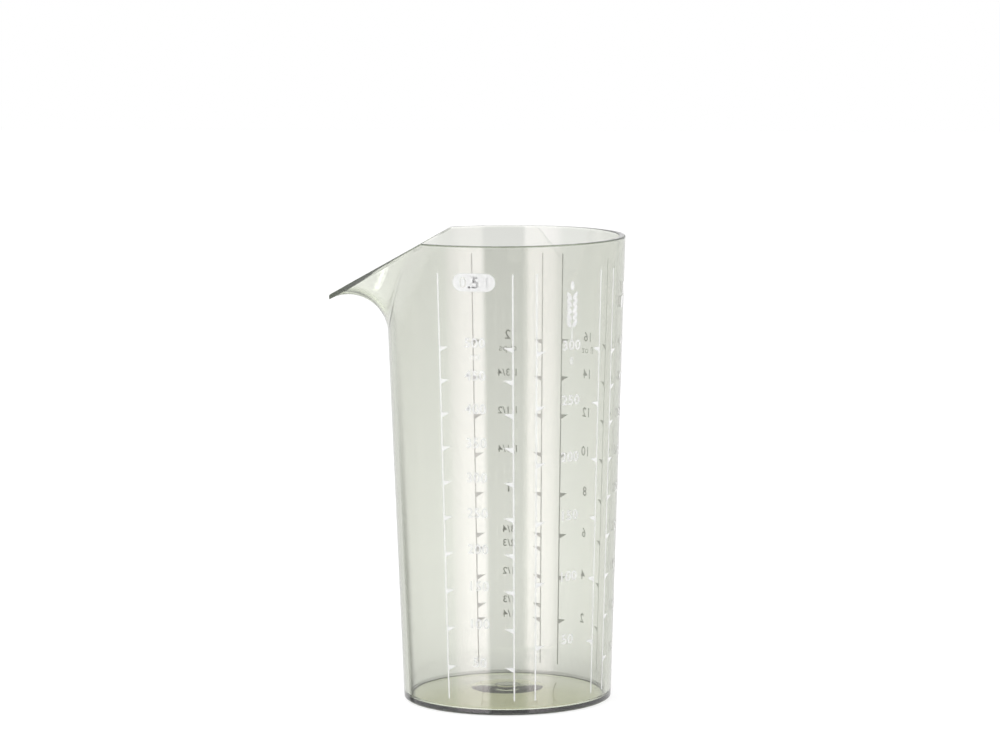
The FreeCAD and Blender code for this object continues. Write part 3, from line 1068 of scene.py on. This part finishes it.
@dataclass(frozen=True)
class Studio:
    """Pale floor, soft lamps and a white surround.

    The plastic mirrors the room that it stands in: dark where the camera is, a tall bright screen on each
    side of it, and pale walls beyond. Straight through the plastic lies a white backdrop. It ends on
    both sides, and the dimmer room beyond it draws the dark lines along the plastic's edges.
    """

    view: Viewpoint
    ambient: float = 0.95
    mirrored: float = 3.1
    screen_tint: str = "#fff5fc"
    screens_end: float = 56.0
    # Angle from the camera, to the right, in degrees, and brightness as a share of mirrored.
    room: tuple[tuple[float, float], ...] = (
        (-180.0, 0.32), (-75.0, 0.32), (-62.0, 0.36), (-54.0, 0.7), (-40.0, 0.95), (-23.0, 1.0), (-18.0, 0.04),
        (20.0, 0.04), (25.0, 0.62), (46.0, 0.62), (54.0, 0.36), (62.0, 0.32), (180.0, 0.32),
    )
    backdrop_half: float = 22.0
    backdrop_blur: float = 4.0
    backdrop_rise: float = 8.0
    rise_blur: float = 0.05
    beyond: float = 0.2
    # A dimmer gap on the left, behind the beaker: its ends in degrees from the camera, and its top.
    gap: tuple[float, float] = (-141.0, -129.0)
    gap_top: float = -9.5
    gap_blur: tuple[float, float] = (0.03, 0.025)
    gap_light: float = 0.25
    # A bright panel above: its ends in degrees from the camera, and from its foot to its top.
    overhead: float = 6.0
    overhead_turn: tuple[float, float] = (42.0, 122.0)
    overhead_rise: tuple[float, float] = (51.0, 60.0)
    overhead_blur: tuple[float, float] = (0.02, 0.01)
    table_fall: float = 18.0
    table_blur: float = 0.06
    table_light: float = 1.3
    table_colour: str = "#fcfff6"
    # The floor: by its own light, where the camera sees it, and where it is dim. Seen through the plastic, it
    # has
    # painted light: a painted glow round the foot, and a painted bright wedge behind the beaker that opens as
    # the backdrop does and is as wide as the foot at the beaker; elsewhere it is painted dim. Reaches are in
    # metres from the axis.
    floor_colour: str = "#e8e8e8"
    shade_colour: str = "#a0a0a0"
    dim_colour: str = "#888888"
    glow_seen: float = 0.72
    glow_through: tuple[float, float] = (0.02, 0.11)
    glow_reach: tuple[float, float] = (0.04, 0.3)
    # Painted glow on the floor round the foot, seen only through the plastic, in place of light carried down
    # the plastic.
    painted_foot_glow: str = "#acac81"
    piped_radius: float = 35.0
    bright_reach: float = 0.24
    floor_size: float = 6.0
    floor_gap: float = 0.0003
    lamps: tuple[Lamp, ...] = (
        Lamp("key_lamp", -0.9, 0.5, 1.3, 12.0),
        Lamp("fill_lamp", 1.0, 0.7, 0.8, 6.0),
    )
    lamps_aim: float = 0.08

    def mirrored_ray(self, tree: NodeTree) -> NodeSocket:
        """One where a ray is mirrored on its way, and zero elsewhere."""
        depth = add_node(tree, "LightPath").outputs["Glossy Depth"]
        return add_node(tree, "Math", {"operation": "GREATER_THAN", 1: 0.5}, {0: depth}).outputs[0]

    def band(self, tree: NodeTree, value: NodeSocket, low: float, high: float, blur: float,
             within: NodeSocket | None = None) -> NodeSocket:
        """One where a value lies between two limits, with soft ends, and zero elsewhere.

        Args:
            tree: Node tree.
            value: The value.
            low: Lower limit.
            high: Upper limit.
            blur: Half the width of each soft end.
            within: Another band, by which this one is multiplied.

        Returns:
            The share.
        """
        for start, end in ((low - blur, low + blur), (high + blur, high - blur)):
            side = add_node(tree, "MapRange", {"From Min": start, "From Max": end}, {"Value": value}).outputs[0]
            within = side if within is None else add_node(
                tree, "Math", {"operation": "MULTIPLY"}, {0: within, 1: side}).outputs[0]
        return within

    def level_parts(self, tree: NodeTree, towards: NodeSocket) -> dict[int, NodeSocket]:
        """Splits a direction into its parts to the camera's right and towards the camera.

        Args:
            tree: Node tree.
            towards: The direction.

        Returns:
            The two parts by the numbers of the inputs that they feed.
        """
        parts = (add_node(tree, "VectorMath", {"operation": "DOT_PRODUCT", 1: axis}, {0: towards})
                 for axis in (self.view.right, self.view.back))
        return {number: part.outputs["Value"] for number, part in enumerate(parts)}

    def on_backdrop(self, tree: NodeTree, towards: NodeSocket) -> NodeSocket:
        """Brightness of what lies behind the beaker.

        Args:
            tree: Node tree.
            towards: Direction towards it, of which only the level part counts.

        Returns:
            One on the backdrop, and less beyond its ends.
        """
        ratio = add_node(tree, "Math", {"operation": "DIVIDE"}, self.level_parts(tree, towards)).outputs[0]
        angle = add_node(tree, "Math", {"operation": "ARCTANGENT"}, {0: ratio}).outputs[0]
        half = math.radians(self.backdrop_half)
        inside = self.band(tree, angle, -half, half, math.radians(self.backdrop_blur))
        return add_node(tree, "MapRange", {"To Min": self.beyond, "To Max": 1.0}, {"Value": inside}).outputs[0]

    def build_world(self) -> None:
        """Makes the surround."""
        world = bpy.data.worlds.new("surround")
        bpy.context.scene.world = world
        world.use_nodes = True
        tree = world.node_tree
        tree.nodes.clear()
        heading = add_node(tree, "TexCoord").outputs["Generated"]
        turn = add_node(tree, "Math", {"operation": "ARCTAN2"}, self.level_parts(tree, heading)).outputs[0]
        place = add_node(tree, "MapRange", {"From Min": -math.pi, "From Max": math.pi}, {"Value": turn})
        ramp = add_node(tree, "ValToRGB", links={"Fac": place.outputs["Result"]})
        stops = ramp.color_ramp.elements
        for number, (angle, share) in enumerate(self.room):
            spot = (angle + 180) / 360
            stop = stops[number] if number < len(stops) else stops.new(spot)
            stop.position = spot
            red, green, blue, alpha = linear(self.screen_tint if abs(angle) < self.screens_end else WHITE)
            stop.color = (share * red, share * green, share * blue, alpha)

        rise = add_node(tree, "SeparateXYZ", links={0: heading}).outputs["Z"]
        low, gap_top, table_top = (math.sin(math.radians(angle)) for angle in (
            self.backdrop_rise, self.gap_top, -self.table_fall))
        above = self.band(tree, rise, *np.sin(np.radians(self.overhead_rise)), self.overhead_blur[1])
        panel = self.band(tree, turn, *np.radians(self.overhead_turn), self.overhead_blur[0], above)
        below = self.band(tree, rise, BELOW_ALL, gap_top, self.gap_blur[1])
        gap = self.band(tree, turn, *np.radians(self.gap), self.gap_blur[0], below)
        table = self.band(tree, rise, BELOW_ALL, table_top, self.table_blur)
        backdrop = self.band(tree, rise, BELOW_ALL, low, self.rise_blur, self.on_backdrop(tree, heading))
        backdrop = add_node(tree, "Math", {"operation": "MAXIMUM", 1: self.beyond}, {0: backdrop})

        gap_light, table_light, panel_light, ambient, white = (
            add_node(tree, "Background", {"Color": linear(colour), "Strength": strength}).outputs[0]
            for colour, strength in (
                (WHITE, self.gap_light), (self.table_colour, self.table_light), (WHITE, self.overhead),
                (WHITE, self.ambient), (WHITE, 1.0)))
        behind = add_node(tree, "Background", {"Color": linear(WHITE)}, {"Strength": backdrop.outputs[0]})
        room = add_node(tree, "Background", {"Strength": self.mirrored}, {"Color": ramp.outputs["Color"]})
        mirrored = layered(tree, room.outputs[0], (gap, gap_light), (table, table_light), (panel, panel_light))
        path = add_node(tree, "LightPath").outputs
        surface = layered(tree, ambient, (path["Is Transmission Ray"], behind.outputs[0]),
                          (path["Is Camera Ray"], white), (self.mirrored_ray(tree), mirrored))
        add_node(tree, "OutputWorld", links={"Surface": surface})

    def build_floor(self) -> Object:
        """Makes the floor: white to look at, and darker only where the beaker's shadow lies; seen through the
        plastic, it is painted bright round the foot and on a wedge behind the beaker, and painted dim
        elsewhere.

        Returns:
            The floor.
        """
        half = self.floor_size / 2
        mesh = bpy.data.meshes.new("floor")
        corners = [(-half, -half), (half, -half), (half, half), (-half, half)]
        mesh.from_pydata([(x, y, -self.floor_gap) for x, y in corners], [], [(0, 1, 2, 3)])
        made = linked("floor", mesh)
        material, tree, output = new_material("pale_floor")
        path = add_node(tree, "LightPath").outputs
        plain, shade, dim = (add_node(tree, "BsdfDiffuse", {"Color": linear(code)}).outputs[0]
                             for code in (self.floor_colour, self.shade_colour, self.dim_colour))

        def lit(base: NodeSocket, strength: float, links: dict | None = None,
                colour: str = WHITE) -> NodeSocket:
            """A shader with a glow added."""
            glow = add_node(tree, "Emission", {"Color": linear(colour), "Strength": strength}, links)
            return add_node(tree, "AddShader", links={0: base, 1: glow.outputs[0]}).outputs[0]

        place = add_node(tree, "TexCoord").outputs["Object"]
        reach = add_node(tree, "VectorMath", {"operation": "LENGTH"}, {0: place}).outputs["Value"]
        under = self.band(tree, reach, BELOW_ALL, self.piped_radius * MM, MM)
        near, far = self.glow_reach
        faint, full = self.glow_through
        limits = {"From Min": near, "From Max": far, "To Min": faint, "To Max": full}
        growing = add_node(tree, "MapRange", limits, {"Value": reach}).outputs[0]
        limits = {"interpolation_type": "SMOOTHSTEP", "From Min": near, "From Max": self.bright_reach,
                  "To Min": 1.0, "To Max": 0.0}
        near_foot = add_node(tree, "MapRange", limits, {"Value": reach}).outputs[0]
        start = self.view.back * (self.piped_radius * MM / math.tan(math.radians(self.backdrop_half)))
        from_start = add_node(tree, "VectorMath", {"operation": "SUBTRACT", 1: start}, {0: place}).outputs[0]
        bright = add_node(tree, "Math", {"operation": "MAXIMUM"},
                          {0: self.on_backdrop(tree, from_start), 1: near_foot}).outputs[0]
        # Seen through the plastic: painted dimness, a painted glow that grows with reach on the bright wedge,
        # and a painted glow round the foot.
        behind = layered(tree, dim, (bright, lit(plain, 0.0, {"Strength": growing})),
                         (under, lit(plain, 1.0, colour=self.painted_foot_glow)))
        clear = add_node(tree, "BsdfTransparent").outputs[0]
        surface = layered(tree, plain, (path["Is Transmission Ray"], behind),
                          (path["Is Camera Ray"], lit(shade, self.glow_seen)), (self.mirrored_ray(tree), clear))
        tree.links.new(surface, output.inputs["Surface"])
        mesh.materials.append(material)
        return made

    def build_lamps(self) -> None:
        """Makes two large soft lamps, high on the left and low on the right."""
        up = Vector((0.0, 0.0, 1.0))
        for lamp in self.lamps:
            data = bpy.data.lights.new(lamp.name, "AREA")
            data.shape = "SQUARE"
            data.size, data.energy = lamp.size, lamp.power
            made = bpy.data.objects.new(lamp.name, data)
            made.location = self.view.right * lamp.side + self.view.back * lamp.ahead + up * lamp.height
            made.rotation_euler = (up * self.lamps_aim - made.location).to_track_quat("-Z", "Y").to_euler()
            made.visible_camera = made.visible_glossy = made.visible_transmission = False
            bpy.context.scene.collection.objects.link(made)

    def build(self) -> None:
        """Makes the surround, floor and lamps, and sets plain colours."""
        self.build_world()
        self.build_floor()
        self.build_lamps()
        bpy.context.scene.view_settings.view_transform = "Standard"


# ---- assembly ----


def main() -> None:
    """Builds the moulding and its printing, dresses them and sets up the studio."""
    logging.basicConfig(level=logging.INFO, format="%(name)s: %(message)s")
    cup = Moulding()
    view = Viewpoint()
    view.build()

    shell = cup.build("beaker_shell")
    shell.data.materials.append(ClearPlastic().make())
    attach(shell, BODY)
    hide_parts("beaker_body")
    LOG.info("%s: %d faces", shell.name, len(shell.data.polygons))

    ink = ScreenInk().make()
    for name in ("millilitre_scale", "flour_scale", "sugar_scale", "fluid_ounce_scale", "cup_scale"):
        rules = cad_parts[name]
        rules.data.materials.clear()
        rules.data.materials.append(ink)
        LOG.info("%s: %d faces", name, len(rules.data.polygons))
    for figures in Artwork(Print(cup)).build():
        figures.data.materials.append(ink)
        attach(figures, BODY)
        LOG.info("%s: %d faces", figures.name, len(figures.data.polygons))

    Studio(view).build()


if __name__ == "__main__":
    main()
